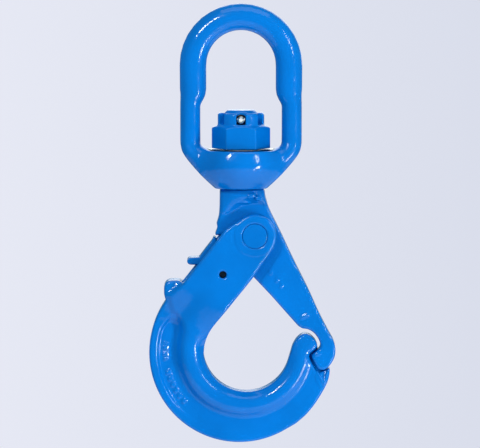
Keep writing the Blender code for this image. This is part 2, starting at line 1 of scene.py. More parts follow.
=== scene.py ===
"""Looks of the swivel self-locking hook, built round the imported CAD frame.

The forgings are modelled as distance fields on a grid, because their bars, ribs and cheeks flow
into each other with soft fillets, and then meshed. Lengths are millimetres up to the point where a
mesh is made (MM turns them into metres). Outlines are (x, z) points in the hook's middle plane, and
each shape is given its thickness along Y.
"""

import json
import math

import bmesh
import bpy
import numpy as np
import openvdb
from mathutils import Matrix, Vector


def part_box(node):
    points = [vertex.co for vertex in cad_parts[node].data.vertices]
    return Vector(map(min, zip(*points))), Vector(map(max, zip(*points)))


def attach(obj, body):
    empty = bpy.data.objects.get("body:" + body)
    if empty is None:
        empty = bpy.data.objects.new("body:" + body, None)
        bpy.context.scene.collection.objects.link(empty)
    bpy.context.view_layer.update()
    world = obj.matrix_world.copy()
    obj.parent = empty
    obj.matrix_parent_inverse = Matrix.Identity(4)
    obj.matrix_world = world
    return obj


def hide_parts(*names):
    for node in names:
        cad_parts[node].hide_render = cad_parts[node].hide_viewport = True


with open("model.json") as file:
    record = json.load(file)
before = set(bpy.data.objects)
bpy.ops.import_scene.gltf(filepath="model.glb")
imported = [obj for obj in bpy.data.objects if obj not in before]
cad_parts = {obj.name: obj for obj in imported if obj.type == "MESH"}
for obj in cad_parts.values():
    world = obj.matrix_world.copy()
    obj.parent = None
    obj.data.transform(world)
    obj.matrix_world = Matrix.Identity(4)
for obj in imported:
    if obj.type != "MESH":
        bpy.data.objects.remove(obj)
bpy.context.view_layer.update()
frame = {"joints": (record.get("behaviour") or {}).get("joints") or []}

MM = 0.001
# Grid steps of the distance fields, and the room left round each.
STEP = 0.62
NUT_STEP = 0.36
TRIGGER_STEP = 0.45
MARGIN = 2.5
FAR = 1e9
TINY = 1e-9
ON_AXIS = 1e-6


# ---------------------------------------------------------------- joints and sizes from the frame

def joint_place(name):
    """The (x, z) point of a hinge along Y, in millimetres."""
    joint = next(j for j in frame["joints"] if j["name"] == name)
    return (joint["pos_m"][0] / MM, joint["pos_m"][2] / MM)


def box_mm(node):
    low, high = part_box(node)
    return [c / MM for c in low], [c / MM for c in high]


PIVOT = joint_place("hook_open")
TRIGGER_PIVOT = joint_place("trigger_press")

# The hook's full opening in degrees, half widths along Y, and the height of the nut's pin.
OPEN_LIMIT = 40.0
CHEEK_HALF = 15.0
SLOT_HALF = 7.8
ARM_HALF = 7.5
NUT_PIN_Z = -53.6


# ---------------------------------------------------------------- plane geometry

def polar(centre, radius, degrees):
    angle = math.radians(degrees)
    return (centre[0] + radius * math.cos(angle), centre[1] + radius * math.sin(angle))


def arc(centre, radius, start, end, steps):
    return [polar(centre, radius, start + (end - start) * i / steps) for i in range(steps + 1)]


def turned_about(point, centre, degrees):
    angle = math.radians(degrees)
    x, z = point[0] - centre[0], point[1] - centre[1]
    return (centre[0] + x * math.cos(angle) - z * math.sin(angle),
            centre[1] + x * math.sin(angle) + z * math.cos(angle))


def smooth(points, steps):
    """A Catmull-Rom curve through every point."""
    knots = [Vector(p) for p in points]
    ends = [2 * knots[0] - knots[1]] + knots + [2 * knots[-1] - knots[-2]]
    curve = []
    for a, b, c, d in zip(ends, ends[1:], ends[2:], ends[3:]):
        for i in range(steps):
            t = i / steps
            bend = (2 * a - 5 * b + 4 * c - d) * t * t
            twist = (3 * b - 3 * c + d - a) * t * t * t
            curve.append(tuple((2 * b + (c - a) * t + bend + twist) / 2))
    return curve + [tuple(knots[-1])]


def ease(low, high, value):
    t = np.clip((value - low) / (high - low), 0, 1)
    return t * t * (3 - 2 * t)


# ---------------------------------------------------------------- distance fields

def outline_distance(px, pz, points, turned=False):
    """Distance from grid points to a closed outline, negative inside.

    The outline of a turned shape is closed along the axis, where the shape has no surface.
    """
    best = np.full(px.shape, FAR, np.float32)
    inside = np.zeros(px.shape, bool)
    for (ax, az), (bx, bz) in zip(points, points[1:] + points[:1]):
        ex, ez = bx - ax, bz - az
        length = ex * ex + ez * ez
        if length < TINY:
            continue
        if not turned or max(ax, bx) > ON_AXIS:
            t = np.clip(((px - ax) * ex + (pz - az) * ez) / length, 0, 1)
            best = np.minimum(best, (px - ax - t * ex) ** 2 + (pz - az - t * ez) ** 2)
        if az != bz:
            crosses = (az > pz) != (bz > pz)
            inside ^= crosses & (px < ax + (pz - az) * ex / (bz - az))
    distance = np.sqrt(best)
    return np.where(inside, -distance, distance)


class Field:
    """A grid of points on which shapes are laid as signed distances, negative inside."""

    def __init__(self, low, high, step):
        self.step = step
        self.low = [c - MARGIN for c in low]
        counts = [int(math.ceil((h + MARGIN - l) / step)) + 1 for l, h in zip(self.low, high)]
        axes = [l + step * np.arange(n, dtype=np.float32) for l, n in zip(self.low, counts)]
        self.x = axes[0][:, None, None]
        self.y = axes[1][None, :, None]
        self.z = axes[2][None, None, :]
        self.flat_x, self.flat_z = np.meshgrid(axes[0], axes[2], indexing="ij")

    def outline(self, points):
        """Distance to a closed outline in the middle plane."""
        return outline_distance(self.flat_x, self.flat_z, points)[:, None, :]

    def slab(self, flat, half, edge):
        """A flat shape as thick as 2 * half along Y, with its edges rounded."""
        across = flat + edge
        through = np.abs(self.y) - half + edge
        outside = np.hypot(np.maximum(across, 0), np.maximum(through, 0))
        return outside + np.minimum(np.maximum(across, through), 0) - edge

    def bar(self, stations, closed=False):
        """A bar through stations of (inner point, outer point, depth, squareness)."""
        px, pz = self.flat_x, self.flat_z
        best = np.full(px.shape, FAR, np.float32)
        width = np.ones(px.shape, np.float32)
        depth = np.ones(px.shape, np.float32)
        power = np.full(px.shape, 2.0, np.float32)
        knots = []
        for inner, outer, full_depth, squareness in stations:
            middle = ((inner[0] + outer[0]) / 2, (inner[1] + outer[1]) / 2)
            half = math.dist(inner, outer) / 2
            knots.append((*middle, half, full_depth / 2, squareness))
        following = knots[1:] + (knots[:1] if closed else [])
        for a, b in zip(knots, following):
            ex, ez = b[0] - a[0], b[1] - a[1]
            t = np.clip(((px - a[0]) * ex + (pz - a[1]) * ez) / (ex * ex + ez * ez), 0, 1)
            away = (px - a[0] - t * ex) ** 2 + (pz - a[1] - t * ez) ** 2
            near = away < best
            best = np.where(near, away, best)
            width = np.where(near, a[2] + (b[2] - a[2]) * t, width)
            depth = np.where(near, a[3] + (b[3] - a[3]) * t, depth)
            power = np.where(near, a[4] + (b[4] - a[4]) * t, power)
        side = (np.sqrt(best) / width)[:, None, :]
        width, depth, power = (v[:, None, :] for v in (width, depth, power))
        through = np.abs(self.y) / depth
        size = (side ** power + through ** power) ** (1 / power)
        return (size - 1) * np.minimum(width, depth)

    def bar_up(self, stations):
        """An upright bar through (z, left x, right x, depth, squareness) stations."""
        heights = [s[0] for s in stations][::-1]
        columns = [[s[k] for s in stations][::-1] for k in range(1, 5)]
        z = self.z[0, 0, :]
        measures = (np.interp(z, heights, c).astype(np.float32) for c in columns)
        left, right, depth, power = (m[None, None, :] for m in measures)
        half_width = (right - left) / 2
        side = np.abs(self.x - (left + right) / 2) / half_width
        size = (side ** power + (np.abs(self.y) / (depth / 2)) ** power) ** (1 / power)
        sides = (size - 1) * np.minimum(half_width, depth / 2)
        ends = np.maximum(self.z - max(heights), min(heights) - self.z)
        return np.maximum(sides, ends)

    def turned(self, points):
        """A profile of (radius, z) points turned about the Z axis."""
        radius = np.hypot(self.x, self.y)
        z = self.z + np.zeros_like(radius)
        radius = radius + np.zeros_like(self.z)
        return outline_distance(radius, z, points, turned=True)

    def rod(self, centre, radius):
        """An endless round bar along Y, for holes."""
        return np.hypot(self.x - centre[0], self.z - centre[1]) - radius + 0 * self.y

    def upright(self, radius, bottom, top):
        """A round bar along Z, for bores."""
        ends = np.maximum(bottom - self.z, self.z - top)
        return np.maximum(np.hypot(self.x, self.y) - radius, ends)

    def stroke(self, start, end, radius):
        """A short rounded mark between two (x, y, z) points."""
        a, b = np.array(start, float), np.array(end, float)
        e = b - a
        length = max(float(e @ e), TINY)
        t = ((self.x - a[0]) * e[0] + (self.y - a[1]) * e[1] + (self.z - a[2]) * e[2]) / length
        t = np.clip(t, 0, 1)
        away = (self.x - a[0] - t * e[0]) ** 2 + (self.y - a[1] - t * e[1]) ** 2
        return np.sqrt(away + (self.z - a[2] - t * e[2]) ** 2) - radius

    def mesh(self, name, field):
        """The field's zero surface as an object in metres."""
        field = soften(np.ascontiguousarray(field, np.float32))
        grid = openvdb.FloatGrid(background=float(MARGIN))
        grid.copyFromArray(field)
        points, quads = grid.convertToQuads(isovalue=0.0)
        points = (points * self.step + np.array(self.low)) * MM
        mesh = bpy.data.meshes.new(name)
        mesh.from_pydata(points.tolist(), [], quads.tolist())
        mesh.update()
        bm = bmesh.new()
        bm.from_mesh(mesh)
        keep_largest(bm)
        if bm.calc_volume(signed=True) < 0:
            bmesh.ops.reverse_faces(bm, faces=bm.faces)
        bm.to_mesh(mesh)
        bm.free()
        mesh.shade_smooth()
        return put_in_scene(name, mesh)


def put_in_scene(name, data):
    obj = bpy.data.objects.new(name, data)
    bpy.context.collection.objects.link(obj)
    return obj


def keep_largest(bm):
    """Drops stray specks, keeping the surface with the most faces."""
    bm.faces.ensure_lookup_table()
    seen = set()
    groups = []
    for start in bm.faces:
        if start in seen:
            continue
        group = [start]
        seen.add(start)
        for face in group:
            for edge in face.edges:
                for other in edge.link_faces:
                    if other not in seen:
                        seen.add(other)
                        group.append(other)
        groups.append(group)
    groups.sort(key=len)
    stray = [face for group in groups[:-1] for face in group]
    if stray:
        bmesh.ops.delete(bm, geom=stray, context="FACES")


def soften(field, weight=0.22):
    """One light blur, so that creases of the field come out as small radii."""
    for axis in range(3):
        border = [(1, 1) if a == axis else (0, 0) for a in range(3)]
        padded = np.pad(field, border, mode="edge")
        before = np.take(padded, range(0, field.shape[axis]), axis=axis)
        after = np.take(padded, range(2, field.shape[axis] + 2), axis=axis)
        field = field * (1 - 2 * weight) + (before + after) * weight
    return field


def blend(a, b, soft):
    """Union with a fillet about as wide as soft."""
    near = np.maximum(soft - np.abs(a - b), 0) / soft
    return np.minimum(a, b) - near * near * soft / 4


def carve(a, b, soft):
    """What is left of a after cutting b, with a small radius along the cut."""
    return -blend(-a, b, soft)


# ---------------------------------------------------------------- swivel link

BAIL_INNER = 20.9
BAIL_OUTER = 36.9
CROWN = (0.0, -BAIL_INNER)
ARCH_DEPTH = 16.0
ARCH_FOOT = -35.0
LEG_INNER = 24.5
LEG_OUTER = 36.6
LEG_DEPTH = 14.5
LEG_TOP = -45.5
LEG_BOTTOM = -60.0
CORNER_RADIUS = 5.0
CORNER_STEPS = 6
HUB_TOP = -72.0
HUB_BOTTOM = -95.2
HUB_FOOT = (15.4, HUB_BOTTOM)
SEAT_FACE_RADIUS = 19.6
POCKET_RADIUS = 20.3
POCKET_BOTTOM = -85.8
SHANK_RADIUS = 10.0
# The cutters reach past the hub: down to here for the bore, and up to here for all of them.
BORE_BOTTOM = -100.0
BORE_TOP = -60.0


def bail_stations():
    """Half of the bail, from the middle of the hub up the right leg to the crown."""
    corner = (LEG_INNER - CORNER_RADIUS, HUB_TOP + CORNER_RADIUS)
    inner_corner = arc(corner, CORNER_RADIUS, -90, 0, CORNER_STEPS)
    shoulder = smooth([(20.0, -90.4), (26.1, -84.8), (31.6, -79.2), (35.2, -74.2), (36.5, -69.0)],
                      3)
    half = [((0.0, HUB_TOP), (0.0, HUB_BOTTOM), 36.0, 3.0),
            ((11.0, HUB_TOP), (12.0, HUB_BOTTOM), 34.0, 3.0)]
    last = len(shoulder) - 1
    outer_at = [shoulder[round(i * last / CORNER_STEPS)] for i in range(CORNER_STEPS + 1)]
    for i, (inner, outer) in enumerate(zip(inner_corner, outer_at)):
        half.append((inner, outer, 25.5 - 10.5 * (i / CORNER_STEPS) ** 0.7, 2.4))
    for z in (LEG_BOTTOM, LEG_TOP):
        half.append(((LEG_INNER, z), (LEG_OUTER, z), LEG_DEPTH, 2.2))
    # The leg thickens into the arch over the last 10 mm below it.
    for share in (0.2, 0.4, 0.6, 0.8):
        eased = share * share * (3 - 2 * share)
        z = LEG_TOP + 10.0 * share
        half.append(((LEG_INNER - 3.6 * eased, z), (LEG_OUTER + 0.2 * eased, z),
                     LEG_DEPTH + 1.5 * eased, 2.1))
    half.append(((BAIL_INNER, ARCH_FOOT), (36.8, ARCH_FOOT), ARCH_DEPTH, 2.0))
    for degrees in range(0, 91, 10):
        inner = polar(CROWN, BAIL_INNER, degrees)
        outer = polar(CROWN, BAIL_OUTER, degrees)
        half.append((inner, outer, ARCH_DEPTH, 2.0))
    return half


def mirrored(stations):
    return [((-i[0], i[1]), (-o[0], o[1]), depth, power) for i, o, depth, power in stations]


def link_outline():
    """The link's outside seen from the front."""
    crown = arc(CROWN, BAIL_OUTER, 90, 0, 40)
    leg = [(36.8, ARCH_FOOT), (LEG_OUTER, LEG_TOP), (LEG_OUTER, -66.0)]
    flank = smooth([(36.4, -69.0), (35.2, -73.4), (31.4, -78.9), (26.6, -84.3), (20.0, -91.0),
                    HUB_FOOT], 4)
    right = crown + leg + flank
    return right + [(-x, z) for x, z in reversed(right[1:])]


def make_swivel_link():
    field = Field(*box_mm("swivel_link"), STEP)
    right = bail_stations()
    loop = field.bar(right + mirrored(right[1:-1])[::-1], closed=True)
    profile = [(0, HUB_TOP), (22.6, HUB_TOP)]
    profile += smooth([(23.4, -72.8), (24.5, -76.6), (25.0, -80.4), (24.1, -84.0), (21.4, -87.8),
                       (17.9, -91.4), HUB_FOOT], 4)
    hub = field.turned(profile + [(0, HUB_BOTTOM)])
    body = blend(loop, hub, 4.0)
    body = np.maximum(body, field.outline(link_outline()))
    # The window's floor, the bearing's pocket and the bore are machined after forging.
    body = carve(body, field.upright(SEAT_FACE_RADIUS, HUB_TOP, BORE_TOP), 1.0)
    body = carve(body, field.upright(POCKET_RADIUS, POCKET_BOTTOM, BORE_TOP), 0.6)
    body = carve(body, field.upright(SHANK_RADIUS + 0.5, BORE_BOTTOM, BORE_TOP), 0.6)
    return field.mesh("swivel_link_forging", body)


# ---------------------------------------------------------------- upper body

HEEL_RADIUS = 24.0
LOBE_RADIUS = 13.0
SHANK_TIP = -48.0
SHANK_CHAMFER = 1.8
SHANK_TIP_RADIUS = 8.3
SHANK_ROOT = -104.0
PIVOT_BORE = 7.5
PIN_BORE = 2.4
# Stations down the neck from its top: z, left x, right x, depth, squareness.
NECK = [
    (-95.7, -11.8, 13.0, 23.0, 2.6),
    (-100.0, -11.8, 13.5, 23.0, 2.8),
    (-106.0, -11.8, 15.8, 21.0, 3.2),
    (-112.0, -12.2, 18.8, 17.0, 4.0),
    (-116.0, -13.2, 20.6, 14.0, 5.0),
]
# The neck's thick part ends in an arch round the pivot.
NECK_ARCH = 21.6
TONGUE_HALF = 2.2
TONGUE_GROOVE_HALF = 2.8
TONGUE_GROOVE_DEPTH = 1.3
ARM_MARK_RADIUS = 1.2
ARM_FRONT = 0.5 - ARM_HALF
NECK_FRONT = -11.2


def upper_outline():
    left = smooth([(-11.8, -106.0), (-12.0, -111.5), (-13.9, -118.0), (-15.6, -122.4)], 4)
    heel = [polar(PIVOT, HEEL_RADIUS, 180)]
    lobe = arc(PIVOT, LOBE_RADIUS, 180, 240, 8)
    inside = [(3.2, -142.5), (7.4, -148.4), (18.0, -159.6), (30.0, -173.2)]
    lip = smooth([(34.5, -178.2), (37.0, -179.7), (40.2, -180.2), (43.8, -182.2),
                  (46.6, -185.8), (48.0, -189.8), (47.3, -192.0)], 4)
    tooth = [(43.2, -195.4), (42.6, -196.3), (43.0, -197.8), (46.0, -203.6)]
    toe = smooth([(47.5, -205.0), (51.0, -204.6), (54.6, -200.8), (56.7, -196.2),
                  (56.9, -191.2), (55.7, -186.8)], 4)
    outside = smooth([(53.2, -182.4), (49.2, -174.8), (45.8, -167.8), (40.6, -156.2),
                      (35.0, -145.0), (29.5, -133.8), (24.3, -122.6), (19.2, -112.4),
                      (15.8, -105.2), (14.0, -101.0)], 3)
    neck = [(13.4, -98.5), (13.4, -96.7), (-11.8, -96.7)]
    return left + heel + lobe + inside + lip + tooth + toe + outside + neck


def arm_marks():
    """Generic forging marks on the front: short raised bars with no lettering."""
    marks = []
    for x, z, rise in ((21.6, -151.0, 1.6), (24.2, -154.2, 1.6), (17.8, -146.4, 1.4)):
        marks.append(((x, ARM_FRONT, z), (x + 0.5, ARM_FRONT, z + rise)))
    marks.append(((36.6, ARM_FRONT, -172.9), (40.0, ARM_FRONT - 0.3, -171.4)))
    marks.append(((45.4, ARM_FRONT, -195.3), (47.4, ARM_FRONT, -194.6)))
    for x, z in ((4.8, -99.8), (6.6, -99.6), (9.6, -100.8), (11.4, -101.6)):
        marks.append(((x, NECK_FRONT, z), (x + 0.9, NECK_FRONT, z + 0.9)))
    return marks


def make_upper_body():
    field = Field(*box_mm("upper_body"), STEP)
    flat = field.outline(upper_outline())
    plate = field.slab(flat, ARM_HALF, 1.5)
    neck = carve(field.bar_up(NECK), field.rod(PIVOT, NECK_ARCH), 4.0)
    body = blend(plate, neck, 4.0)
    shank = field.turned([(0, SHANK_TIP), (SHANK_TIP_RADIUS, SHANK_TIP),
                          (SHANK_RADIUS, SHANK_TIP - SHANK_CHAMFER),
                          (SHANK_RADIUS, SHANK_ROOT), (0, SHANK_ROOT)])
    body = np.minimum(body, shank)
    body = carve(body, field.rod(PIVOT, PIVOT_BORE), 0.4)
    body = carve(body, field.rod((0, NUT_PIN_Z), PIN_BORE), 0.3)
    # Room for the cheeks, which swing up beside the neck as the hook opens.
    swung = [turned_about(p, PIVOT, -OPEN_LIMIT) for p in cheek_outline()]
    room = np.maximum(field.outline(swung) - 0.4, SLOT_HALF - 0.1 - np.abs(field.y))
    body = carve(body, room, 0.3)
    # A groove in the tooth's edge straddles the hook's tongue when the hook is shut.
    groove = np.maximum(field.outline(tongue_outline(0.6)), -flat - TONGUE_GROOVE_DEPTH)
    groove = np.maximum(groove, np.abs(field.y) - TONGUE_GROOVE_HALF)
    body = carve(body, groove, 0.2)
    for mark in arm_marks():
        body = blend(body, field.stroke(*mark, ARM_MARK_RADIUS), 0.4)
    return field.mesh("upper_body_forging", body)


# ---------------------------------------------------------------- hook body

BOWL = (3.3, -192.0)
BOWL_RADIUS = 26.2
# The bead's outside round the bowl: degrees, and radii at them.
BEAD_OUTER = ((176, 230, 265, 290, 320, 345), (42.3, 42.9, 41.9, 41.2, 40.7, 40.4))
BACK = (-1.0, -194.4)
BACK_RADIUS = 54.4
BOSS_RADIUS = 13.1
BOSS_GROOVE_HALF = 0.4
BOSS_GROOVE_DEPTH = 0.7
FLANGE_WIDTH = 4.5
FLANGE_SLOPE = 1.6
FLANGE_HALF = 7.0
SEAT_RADIUS = 92.1
TONGUE_GAP = 0.8
SLOT_FLOOR = -152.6
SLOT_END = -35.2
HOOK_PIVOT_BORE = 7.45
HOOK_TRIGGER_BORE = 2.25
WEB_HALF = 5.0
WEB_RISE = 1.8
GUARD_HALF = 9.8
GUARD_TAPER = 3.3
CHEEK_FALL = 6.5
# The direction from the pivot down the cheeks, along which they fall away into the bead.
CHEEK_RUN = (-0.60, -0.80)
GUARD_HEEL = (-45.6, -161.5)
GUARD_TOE = (-35.0, -152.0)
BOWL_TOP = (-14.5, -175.1)
# Rows of marks along the web: radius, first and last degrees, count.
MARK_ROWS = ((44.6, 172, 184, 6), (44.4, 194, 222, 12))
MARK_HEIGHT = 0.35
MARK_RADIUS = 0.7
MARK_REACH = 1.2
# How far out and round a mark's second stroke ends.
MARK_ASIDE = (1.0, 1.3)
# Two ridges meet in a point below the seat of the latch arm's toe, with a third beside them.
RIDGES = [
    [(45.9, -7.1, -205.4), (50.0, -7.1, -213.4)],
    [(52.0, -7.1, -206.2), (50.2, -7.1, -213.4)],
    [(44.9, -6.9, -207.8), (47.9, -6.9, -215.3)],
]
FACET = [(45.8, -203.5), (52.6, -203.5), (50.2, -213.6)]
FACET_FOOT = -213.4
FACET_SLOPE = 0.2


def bowl_edge():
    upper = smooth([BOWL_TOP, (-17.8, -179.5), (-20.4, -184.5), (-22.1, -190.0)], 4)
    return upper + arc(BOWL, BOWL_RADIUS, 188, 344, 52)


def nose_edge():
    nose = smooth([(30.0, -194.3), (31.1, -190.5), (33.0, -187.0), (35.8, -184.0),
                   (38.8, -182.9), (42.0, -184.2), (44.7, -187.0), (46.2, -190.2)], 4)
    return nose + [(44.9, -192.2), (41.6, -194.8), (40.9, -196.2), (41.4, -198.2), (44.8, -204.6)]


def throat_line():
    return [(19.6, -130.5), (13.3, -139.5), (7.0, -148.7), (0.0, -157.5)]


def tongue_outline(wider=0.0):
    """The thin web behind the latch arm's tooth, and the room that it needs in the tooth's edge."""
    e = wider
    return [(40.0, -193.5 + e), (44.6, -190.5 + e), (46.6 + e, -191.4), (44.6 + e, -196.0),
            (45.2 + e, -199.5), (48.1 + e, -204.4), (51.0, -204.7), (51.0, -207.5),
            (44.0, -207.0), (40.0, -198.5)]


def guard_edge():
    top = arc((-42.1, -154.7), 4.2, 180, 90, 6)
    return [(-46.3, -158.5)] + top + [(-37.5, -150.4), GUARD_TOE]


def cheek_back():
    return [(-9.5, -119.5), (-5.2, -116.5)]


def boss_arc():
    return arc(PIVOT, BOSS_RADIUS, 132, -20, 24)


def tip_edge():
    """The seat under the latch arm's toe, which swings just clear of it, and the tip's outside."""
    seat = arc(PIVOT, SEAT_RADIUS, -65.6, -60.4, 6)
    outside = smooth([(53.5, -207.2), (52.6, -211.2), (50.9, -215.2), (48.2, -220.0),
                      (44.6, -225.6), (39.4, -232.0), (33.0, -237.6)], 5)
    return seat + outside


def hook_outline():
    back = arc(BACK, BACK_RADIUS, -60, -216, 72)
    inside = throat_line() + bowl_edge() + nose_edge()
    return inside + tip_edge() + back + [GUARD_HEEL] + guard_edge() + cheek_back() + boss_arc()


def cheek_outline():
    foot = smooth([(-21.0, -184.0), (-29.0, -183.0), (-35.5, -174.5), (-41.0, -167.5),
                   (-43.5, -159.0)], 5)
    return throat_line() + [BOWL_TOP] + foot + [GUARD_TOE] + cheek_back() + boss_arc()


def bead_stations():
    stations = [
        ((-10.0, -169.9), (-25.0, -160.0), 27.0, 3.0),
        ((-13.5, -174.2), (-29.6, -166.5), 25.5, 2.8),
        ((-19.0, -181.5), (-36.2, -175.5), 23.5, 2.5),
    ]
    # The bead thins a little down the back of the bowl, and more from the bottom to the nose.
    for degrees in range(176, 345, 8):
        share = max(0.0, (degrees - 280) / 64)
        inner = polar(BOWL, BOWL_RADIUS, degrees)
        outer = polar(BOWL, float(np.interp(degrees, *BEAD_OUTER)), degrees)
        thick = 24.0 - 2.0 * min(1.0, (degrees - 176) / 60) - 3.0 * share
        stations.append((inner, outer, thick, 2.3))
    return stations + [
        ((30.0, -194.3), (41.4, -199.2), 18.0, 2.4),
        ((31.1, -190.0), (41.0, -195.2), 16.6, 2.4),
        ((33.3, -186.6), (45.2, -191.6), 15.4, 2.4),
        ((36.2, -183.9), (45.6, -188.6), 13.6, 2.3),
        ((38.2, -183.4), (43.6, -186.4), 10.0, 2.1),
    ]


def web_half(x, z):
    """Half the web's thickness, which is least over the back and grows to the bottom and tip."""
    return WEB_HALF + WEB_RISE * np.maximum(ease(218.0, 240.0, -z), ease(-8.0, 18.0, x))


def hook_marks():
    """Two rows of generic raised marks along the web: bars, dots and angles, no lettering."""
    marks = []
    for row, (radius, first, last, count) in enumerate(MARK_ROWS):
        for number in range(count):
            degrees = first + (last - first) * number / (count - 1)
            kind = (number * 2 + row) % 4
            inner = polar(BACK, radius - MARK_REACH, degrees)
            outer = polar(BACK, radius + MARK_REACH, degrees)
            aside = polar(BACK, radius + MARK_ASIDE[0], degrees + MARK_ASIDE[1])
            if kind in (0, 3):
                marks.append((inner, outer))
            if kind == 1:
                marks.append((aside, aside))
            if kind in (1, 2):
                marks.append((inner, aside))
    raised = [[(x, -web_half(x, z) - MARK_HEIGHT, z) for x, z in ends] for ends in marks]
    return raised + RIDGES


def make_hook_body():
    field = Field(*box_mm("hook_body"), STEP)
    outline = field.outline(hook_outline())
    # The web is sunk between the bead and a flange that follows the back.
    to_back = np.hypot(field.x - BACK[0], field.z - BACK[1])
    flange_inner = BACK_RADIUS - FLANGE_WIDTH - 4.0 * ease(-182.0, -166.0, field.z)
    rise = np.clip((to_back - flange_inner) / FLANGE_SLOPE + 1, 0, 1)
    thin = web_half(field.x, field.z)
    web = field.slab(outline, thin + (FLANGE_HALF - thin) * rise, 1.2)
    body = blend(web, field.bar(bead_stations()), 2.4)
    # The cheeks keep their full thickness past the slot's floor, then fall away into the bead.
    along = (field.x - PIVOT[0]) * CHEEK_RUN[0] + (field.z - PIVOT[1]) * CHEEK_RUN[1]
    half = CHEEK_HALF - CHEEK_FALL * ease(46.0, 74.0, along)
    body = blend(body, field.slab(field.outline(cheek_outline()), half, 1.7), 6.0)
    guard_outline = guard_edge() + [(-33.0, -154.5), (-31.0, -175.0), (-50.5, -173.0), GUARD_HEEL]
    half = GUARD_HALF - GUARD_TAPER * ease(158.0, 172.0, -field.z)
    body = blend(body, field.slab(field.outline(guard_outline), half, 2.2), 3.5)
    # Nothing reaches past the outline seen from the front.
    body = np.maximum(body, outline - 0.05)
    # A tongue of the web closes the recess behind the latch arm's tooth, just clear of it.
    tooth = field.outline(upper_outline())
    tongue = field.slab(field.outline(tongue_outline()), TONGUE_HALF, 0.8)
    body = np.minimum(body, np.maximum(tongue, -TONGUE_GAP - tooth))
    # A facet under the tooth, sloping back between two straight edges.
    in_front = field.y + FLANGE_HALF - FACET_SLOPE * (field.z - FACET_FOOT)
    body = carve(body, np.maximum(field.outline(FACET), in_front), 0.3)
    # A fine groove rings the boss round the pivot.
    to_pivot = np.hypot(field.x - PIVOT[0], field.z - PIVOT[1]) + 0 * field.y
    ring = np.abs(to_pivot - BOSS_RADIUS) - BOSS_GROOVE_HALF
    groove = np.maximum(ring, CHEEK_HALF - BOSS_GROOVE_DEPTH - np.abs(field.y))
    body = carve(body, groove, 0.3)
    for mark in hook_marks():
        body = blend(body, field.stroke(*mark, MARK_RADIUS), 0.3)
    # The slot for the latch arm and trigger, the pivot's bore and the trigger pin's bore.
    ends = np.maximum(SLOT_FLOOR - field.z, SLOT_END - field.x)
    body = carve(body, np.maximum(np.abs(field.y) - SLOT_HALF, ends), 0.8)
    body = carve(body, field.rod(PIVOT, HOOK_PIVOT_BORE), 0.15)
    body = carve(body, field.rod(TRIGGER_PIVOT, HOOK_TRIGGER_BORE), 0.5)
    return field.mesh("hook_forging", body)


# ---------------------------------------------------------------- trigger

TAB_TIP = (-30.4, -139.0)
TAB_RADIUS = 2.1
TRIGGER_RATIO = 0.5
SEAR_GAP = 0.5
TRIGGER_BORE = 2.2
SPRING_ROOM = 7.8
SPRING_ROOM_HALF = 3.7
RIB_COUNT = 3
RIB_PITCH = 1.9
RIB_RADIUS = 0.45
RIB_HALF = 6.0


def heel_path(degrees):
    """Where the heel's corner stands, seen from the trigger, once the hook has opened this far."""
    corner = polar(PIVOT, HEEL_RADIUS, 180 + degrees)
    return turned_about(corner, TRIGGER_PIVOT, -TRIGGER_RATIO * degrees)


def trigger_outline():
    # The face that holds the heel follows its path, a small gap away, so that both can turn.
    face = []
    for degrees in range(0, 34, 2):
        before, after = Vector(heel_path(degrees - 1)), Vector(heel_path(degrees + 1))
        along = (after - before).normalized()
        aside = Vector((along.y, -along.x)) * SEAR_GAP
        face.append(tuple(Vector(heel_path(degrees)) + aside))
    hub = arc(TRIGGER_PIVOT, 5.0, 40, -160, 24)
    under = smooth([(-18.5, -144.8), (-22.4, -142.7), (-26.2, -141.2)], 3)
    tab = arc(TAB_TIP, TAB_RADIUS, -90, -270, 12)
    back = [(-25.2, -136.6), (-21.4, -131.5), (-17.4, -126.4), (-16.7, -124.9)]
    return face + hub + under + tab + back


def make_trigger():
    field = Field(*box_mm("trigger"), TRIGGER_STEP)
    body = field.slab(field.outline(trigger_outline()), ARM_HALF, 0.9)
    # The spring sits in a window round the pin.
    window = np.maximum(field.rod(TRIGGER_PIVOT, SPRING_ROOM), np.abs(field.y) - SPRING_ROOM_HALF)
    body = carve(body, window, 0.3)
    body = carve(body, field.rod(TRIGGER_PIVOT, TRIGGER_BORE), 0.3)
    # Raised ribs across the thumb tab give it grip.
    z = TAB_TIP[1] + TAB_RADIUS - 0.15
    for number in range(RIB_COUNT):
        x = TAB_TIP[0] + 0.2 + RIB_PITCH * number
        rib = field.stroke((x, -RIB_HALF, z), (x, RIB_HALF, z), RIB_RADIUS)
        body = blend(body, rib, 0.4)
    return field.mesh("trigger_lever", body)


# ---------------------------------------------------------------- castle nut

NUT_SIDE_PAIRS = 3
NUT_HALF = 15.4
NUT_BOTTOM = -71.2
NUT_SHOULDER = -57.1
NUT_CROWN_RADIUS = 14.0
NUT_CROWN_TOP = -49.7
NUT_CROWN_CHAMFER = 0.9
NUT_CROWN_FOOT = -59.5
NUT_SLOT_HALF = 2.75
NUT_SLOT_FLOOR = -56.5
# The cone that chamfers the hexagon's corners: its slope across and up.
NUT_CONE = (0.43, 0.90)


